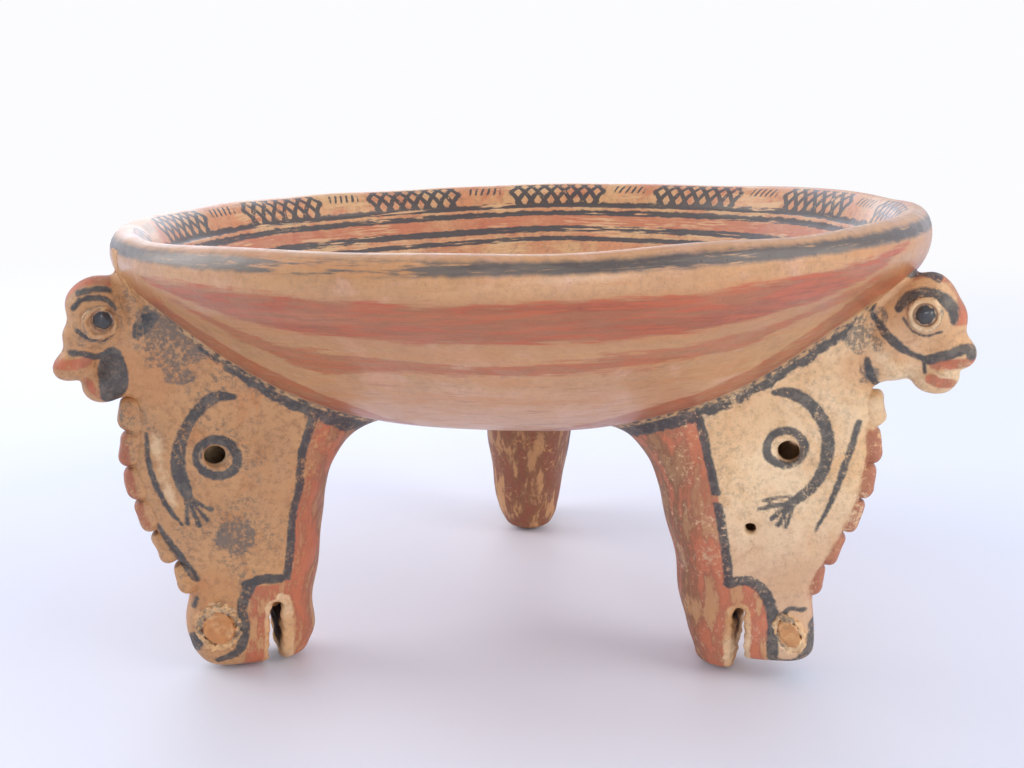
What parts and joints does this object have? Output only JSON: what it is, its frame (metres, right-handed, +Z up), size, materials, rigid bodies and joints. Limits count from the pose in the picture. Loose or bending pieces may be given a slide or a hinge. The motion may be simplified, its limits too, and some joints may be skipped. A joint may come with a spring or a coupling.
{
  "type": "tripod bowl",
  "caption": "Shallow terracotta bowl with a thick rolled rim, standing on hollow slit rattle legs that carry scalloped crests and small beaked animal heads.",
  "frame": {"origin": "on the floor under the middle of the whole part", "axes": "+Z up; one leg at the back along +Y, two legs at the front at -X and +X"},
  "size_m": [0.2336, 0.246, 0.1277],
  "materials": {
    "dish_clay": "burnished buff and red slip in worn bands",
    "rim_clay": "burnished buff slip with a worn black line and crosshatch inside",
    "leg_slip": "cream slip painted black and red, mottled",
    "crest_slip": "worn red slip on buff clay",
    "head_slip": "buff slip with black brows and cheek and red beak",
    "eye_slip": "burnished black pupil in a buff ring",
    "pellet_clay": "bare tan clay with a cream and black edge",
    "ball_clay": "rough unslipped fired clay"
  },
  "bodies": {
    "vessel": {"bowl_dish": "dish_clay", "rim_coil": "rim_clay", "front_left_leg_shell": "leg_slip", "front_left_crest": "crest_slip", "front_left_head": "head_slip", "front_left_head_left_eye": "eye_slip", "front_left_head_right_eye": "eye_slip", "front_left_left_nostril": "pellet_clay", "front_left_right_nostril": "pellet_clay", "front_right_leg_shell": "leg_slip", "front_right_crest": "crest_slip", "front_right_head": "head_slip", "front_right_head_left_eye": "eye_slip", "front_right_head_right_eye": "eye_slip", "front_right_left_nostril": "pellet_clay", "front_right_right_nostril": "pellet_clay", "rear_leg_shell": "leg_slip", "rear_crest": "crest_slip", "rear_head": "head_slip", "rear_head_left_eye": "eye_slip", "rear_head_right_eye": "eye_slip", "rear_left_nostril": "pellet_clay", "rear_right_nostril": "pellet_clay"},
    "front_left_ball_1": {"front_left_rattle_ball_1": "ball_clay"},
    "front_left_ball_2": {"front_left_rattle_ball_2": "ball_clay"},
    "front_right_ball_1": {"front_right_rattle_ball_1": "ball_clay"},
    "front_right_ball_2": {"front_right_rattle_ball_2": "ball_clay"},
    "rear_ball_1": {"rear_rattle_ball_1": "ball_clay"},
    "rear_ball_2": {"rear_rattle_ball_2": "ball_clay"}
  },
  "joints": [
    {"name": "front_left_ball_1_slide", "type": "slide", "parent": "vessel", "child": "front_left_ball_1", "axis": [0, 0, 1], "range_m": [0, 0.0436]},
    {"name": "front_left_ball_2_slide", "type": "slide", "parent": "vessel", "child": "front_left_ball_2", "axis": [0, 0, 1], "range_m": [0, 0.0436]},
    {"name": "front_right_ball_1_slide", "type": "slide", "parent": "vessel", "child": "front_right_ball_1", "axis": [0, 0, 1], "range_m": [0, 0.0457]},
    {"name": "front_right_ball_2_slide", "type": "slide", "parent": "vessel", "child": "front_right_ball_2", "axis": [0, 0, 1], "range_m": [0, 0.0457]},
    {"name": "rear_ball_1_slide", "type": "slide", "parent": "vessel", "child": "rear_ball_1", "axis": [0, 0, 1], "range_m": [0, 0.0447]},
    {"name": "rear_ball_2_slide", "type": "slide", "parent": "vessel", "child": "rear_ball_2", "axis": [0, 0, 1], "range_m": [0, 0.0447]}
  ]
}
